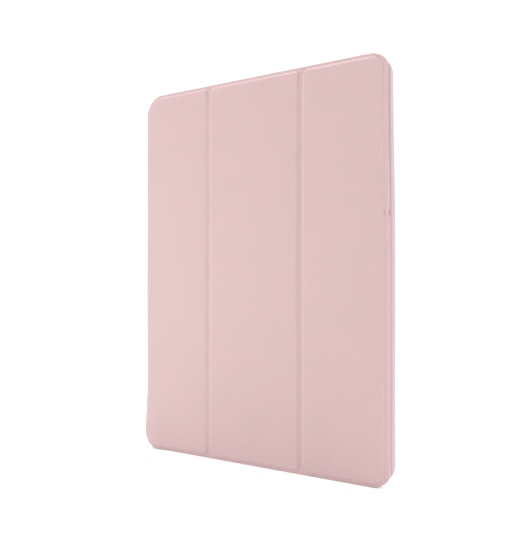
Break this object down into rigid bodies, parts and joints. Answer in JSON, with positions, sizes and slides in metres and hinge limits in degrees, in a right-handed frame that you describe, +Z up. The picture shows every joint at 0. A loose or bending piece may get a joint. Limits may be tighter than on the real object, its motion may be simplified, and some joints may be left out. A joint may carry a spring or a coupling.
{
  "type": "tablet case",
  "caption": "Folding tablet case: a soft tray that holds the tablet, a wrap-round spine and a panelled front cover that folds back into a stand.",
  "frame": {"origin": "on the surface the case stands on, under the middle of its width and thickness", "axes": "+Z up along the tall side, +X towards the spine, -Y out of the front cover"},
  "size_m": [0.2205, 0.0104, 0.2848],
  "materials": {
    "outer_skin": "matte, fine-grained coated synthetic leather",
    "lining": "brushed microfibre",
    "soft_shell": "frosted, slightly translucent soft plastic",
    "board": "plain stiffening board",
    "glue": "clear adhesive film",
    "steel": "rolled sheet",
    "magnet": "nickel plated"
  },
  "bodies": {
    "shell": {"back_shell": "soft_shell", "back_strip_skin": "outer_skin", "back_strip_glue": "glue", "back_crease_skin": "outer_skin"},
    "power_key": {"power_button": "soft_shell"},
    "volume_up_key": {"volume_up_button": "soft_shell"},
    "volume_down_key": {"volume_down_button": "soft_shell"},
    "spine": {"spine_skin": "outer_skin", "spine_board": "board", "spine_lining": "lining", "front_crease_skin": "outer_skin", "front_crease_lining": "lining"},
    "hinge_panel": {"hinge_panel_skin": "outer_skin", "hinge_panel_board": "board", "hinge_panel_lining": "lining", "catch_plate": "steel", "fold_two_skin": "outer_skin", "fold_two_lining": "lining"},
    "middle_panel": {"middle_panel_skin": "outer_skin", "middle_panel_board": "board", "middle_panel_lining": "lining", "fold_one_skin": "outer_skin", "fold_one_lining": "lining"},
    "free_panel": {"free_panel_skin": "outer_skin", "free_panel_board": "board", "free_panel_lining": "lining", "closing_magnets": "magnet", "wake_magnet": "magnet"}
  },
  "joints": [
    {"name": "cover_opening", "type": "hinge", "parent": "shell", "child": "spine", "pos_m": [0.1097, 0.00465, 0.142], "axis": [0, 0, 1], "range_deg": [0, 179], "deforming": ["back_crease_skin"]},
    {"name": "front_crease", "type": "hinge", "parent": "spine", "child": "hinge_panel", "pos_m": [0.10958, -0.00325, 0.142], "axis": [0, 0, 1], "range_deg": [0, 185], "deforming": ["front_crease_skin", "front_crease_lining"]},
    {"name": "middle_fold", "type": "hinge", "parent": "hinge_panel", "child": "middle_panel", "pos_m": [0.0411, -0.00325, 0.142], "axis": [0, 0, 1], "range_deg": [-132, 0], "deforming": ["fold_two_skin", "fold_two_lining"]},
    {"name": "free_fold", "type": "hinge", "parent": "middle_panel", "child": "free_panel", "pos_m": [-0.0435, -0.00325, 0.142], "axis": [0, 0, 1], "range_deg": [-132, 0], "deforming": ["fold_one_skin", "fold_one_lining"]},
    {"name": "power_press", "type": "slide", "parent": "shell", "child": "power_key", "axis": [0, 0, -1], "range_m": [0, 0.0004], "stiffness_N_per_m": 2000},
    {"name": "volume_up_press", "type": "slide", "parent": "shell", "child": "volume_up_key", "axis": [1, 0, 0], "range_m": [0, 0.0004], "stiffness_N_per_m": 2000},
    {"name": "volume_down_press", "type": "slide", "parent": "shell", "child": "volume_down_key", "axis": [1, 0, 0], "range_m": [0, 0.0004], "stiffness_N_per_m": 2000}
  ],
  "couplings": [
    {"joint": "front_crease", "follows": "cover_opening", "ratio": 1},
    {"joint": "middle_fold", "follows": "cover_opening", "ratio": -0.71},
    {"joint": "free_fold", "follows": "cover_opening", "ratio": -0.71}
  ]
}
